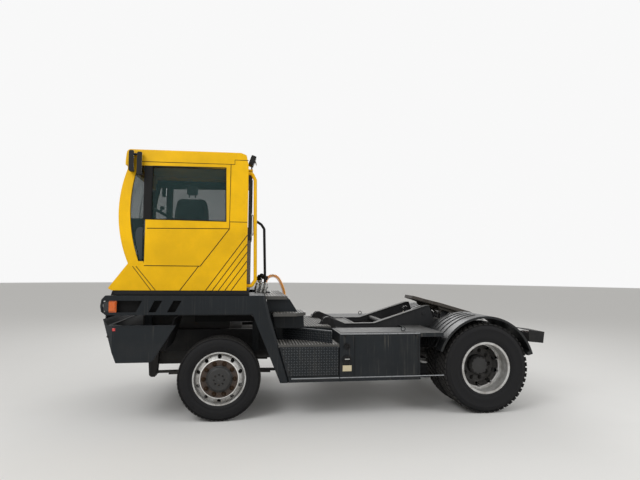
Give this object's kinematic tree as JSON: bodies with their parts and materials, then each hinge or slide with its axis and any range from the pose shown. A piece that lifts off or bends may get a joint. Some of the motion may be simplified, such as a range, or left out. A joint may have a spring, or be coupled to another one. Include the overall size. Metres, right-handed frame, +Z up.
{
  "type": "terminal tractor",
  "caption": "Terminal tractor with an offset tilting cab, steered front wheels, twin rear wheels and a lifting fifth wheel on a hinged boom.",
  "frame": {"origin": "on the ground below the middle of the vehicle's box", "axes": "+X to the rear, +Y to the vehicle's right, +Z up"},
  "size_m": [5.2, 2.553, 2.9457],
  "materials": {
    "cab_paint": "glossy yellow paint",
    "dark_paint": "satin anthracite paint",
    "chassis_paint": "satin black paint with road dirt",
    "cast_metal": "black paint over castings, dusty",
    "cooler_metal": "finned metal",
    "lamp_glass": "clear moulded lens",
    "amber_lens": "moulded lens",
    "black_plastic": "moulded black plastic",
    "tread_metal": "ribbed aluminium",
    "hose_plastic": "coiled plastic hose",
    "stack_metal": "heat resistant black",
    "tyre_rubber": "worn road rubber",
    "wheel_paint": "silver paint with brake dust",
    "greased_iron": "greased black iron",
    "rod_chrome": "hard chrome",
    "cab_glass": "lightly tinted safety glass",
    "seat_cloth": "black woven cloth"
  },
  "bodies": {
    "chassis": {"ladder_frame": "chassis_paint", "frame_brackets": "chassis_paint", "front_axle_beam": "cast_metal", "front_leaf_springs": "cast_metal", "rear_axle": "cast_metal", "engine_block": "cast_metal", "radiator": "cooler_metal", "driveline": "cast_metal", "front_bumper": "dark_paint", "front_crossbeam": "chassis_paint", "front_panel": "dark_paint", "headlamps": "lamp_glass", "signal_lamps": "amber_lens", "left_fender_frame": "dark_paint", "right_fender_frame": "dark_paint", "wheel_arch_liners": "black_plastic", "step_treads": "tread_metal", "step_carcass": "dark_paint", "side_boxes": "dark_paint", "filler_caps": "black_plastic", "rear_fenders": "black_plastic", "hose_stand": "chassis_paint", "air_hose_coil": "hose_plastic", "air_cleaner": "chassis_paint", "exhaust_stack": "stack_metal"},
    "knuckle_left": {"steering_knuckle_left": "cast_metal"},
    "knuckle_right": {"steering_knuckle_right": "cast_metal"},
    "steering_tie_rod": {"tie_rod": "cast_metal"},
    "front_left": {"front_left_tyre": "tyre_rubber", "front_left_wheel": "wheel_paint"},
    "front_right": {"front_right_tyre": "tyre_rubber", "front_right_wheel": "wheel_paint"},
    "rear_left": {"rear_left_tyres": "tyre_rubber", "rear_left_wheels": "wheel_paint"},
    "rear_right": {"rear_right_tyres": "tyre_rubber", "rear_right_wheels": "wheel_paint"},
    "boom": {"lift_boom": "chassis_paint"},
    "coupling_plate": {"fifth_wheel_plate": "greased_iron"},
    "lift_barrels": {"lift_cylinder_barrels": "chassis_paint"},
    "lift_rods": {"lift_cylinder_rods": "rod_chrome"},
    "cab": {"cab_left_wall": "cab_paint", "cab_right_wall": "cab_paint", "cab_rear_wall": "cab_paint", "cab_roof": "cab_paint", "cab_front_apron": "cab_paint", "cab_floor": "chassis_paint", "windscreen": "cab_glass", "cab_windows": "cab_glass", "seat_frame": "black_plastic", "seat_cushion": "seat_cloth", "seat_back": "seat_cloth", "dashboard": "black_plastic", "steering_wheel": "black_plastic", "cab_handrail": "cab_paint", "work_light": "lamp_glass", "mirrors": "black_plastic"},
    "door": {"rear_door": "cab_paint", "rear_door_glass": "cab_glass"}
  },
  "joints": [
    {"name": "steer_left", "type": "hinge", "parent": "chassis", "child": "knuckle_left", "pos_m": [-1.375, -0.88, 0.45], "axis": [0, 0, 1], "range_deg": [-40, 40]},
    {"name": "steer_right", "type": "hinge", "parent": "chassis", "child": "knuckle_right", "pos_m": [-1.375, 0.88, 0.45], "axis": [0, 0, 1], "range_deg": [-40, 40]},
    {"name": "tie_rod_pivot", "type": "hinge", "parent": "knuckle_left", "child": "steering_tie_rod", "pos_m": [-1.225, -0.88, 0.318], "axis": [0, 0, 1], "range_deg": [-40, 40]},
    {"name": "front_left_spin", "type": "hinge", "parent": "knuckle_left", "child": "front_left", "pos_m": [-1.375, -1.04, 0.45], "axis": [0, 1, 0], "continuous": true},
    {"name": "front_right_spin", "type": "hinge", "parent": "knuckle_right", "child": "front_right", "pos_m": [-1.375, 1.04, 0.45], "axis": [0, 1, 0], "continuous": true},
    {"name": "rear_left_spin", "type": "hinge", "parent": "chassis", "child": "rear_left", "pos_m": [1.675, -0.943, 0.515], "axis": [0, 1, 0], "continuous": true},
    {"name": "rear_right_spin", "type": "hinge", "parent": "chassis", "child": "rear_right", "pos_m": [1.675, 0.943, 0.515], "axis": [0, 1, 0], "continuous": true},
    {"name": "cab_tilt", "type": "hinge", "parent": "chassis", "child": "cab", "pos_m": [-2.515, 0, 1.382], "axis": [0, -1, 0], "range_deg": [0, 60]},
    {"name": "rear_door_slide", "type": "slide", "parent": "cab", "child": "door", "axis": [0, 1, 0], "range_m": [0, 0.62]},
    {"name": "boom_lift", "type": "hinge", "parent": "chassis", "child": "boom", "pos_m": [-0.07, 0, 0.985], "axis": [0, -1, 0], "range_deg": [0, 20]},
    {"name": "coupling_plate_tilt", "type": "hinge", "parent": "boom", "child": "coupling_plate", "pos_m": [1.545, 0, 1.065], "axis": [0, -1, 0], "range_deg": [0, 15]},
    {"name": "lift_barrel_pivot", "type": "hinge", "parent": "chassis", "child": "lift_barrels", "pos_m": [1, 0, 0.48], "axis": [0, -1, 0], "range_deg": [0, 14.32]},
    {"name": "lift_rod_slide", "type": "slide", "parent": "lift_barrels", "child": "lift_rods", "axis": [0.333, 0, 0.9429], "range_m": [0, 0.405]}
  ],
  "couplings": [
    {"joint": "steer_right", "follows": "steer_left", "ratio": 1},
    {"joint": "tie_rod_pivot", "follows": "steer_left", "ratio": -1},
    {"joint": "lift_barrel_pivot", "follows": "boom_lift", "ratio": 0.70596},
    {"joint": "lift_rod_slide", "follows": "boom_lift", "m_per_rad": 1.1545}
  ]
}
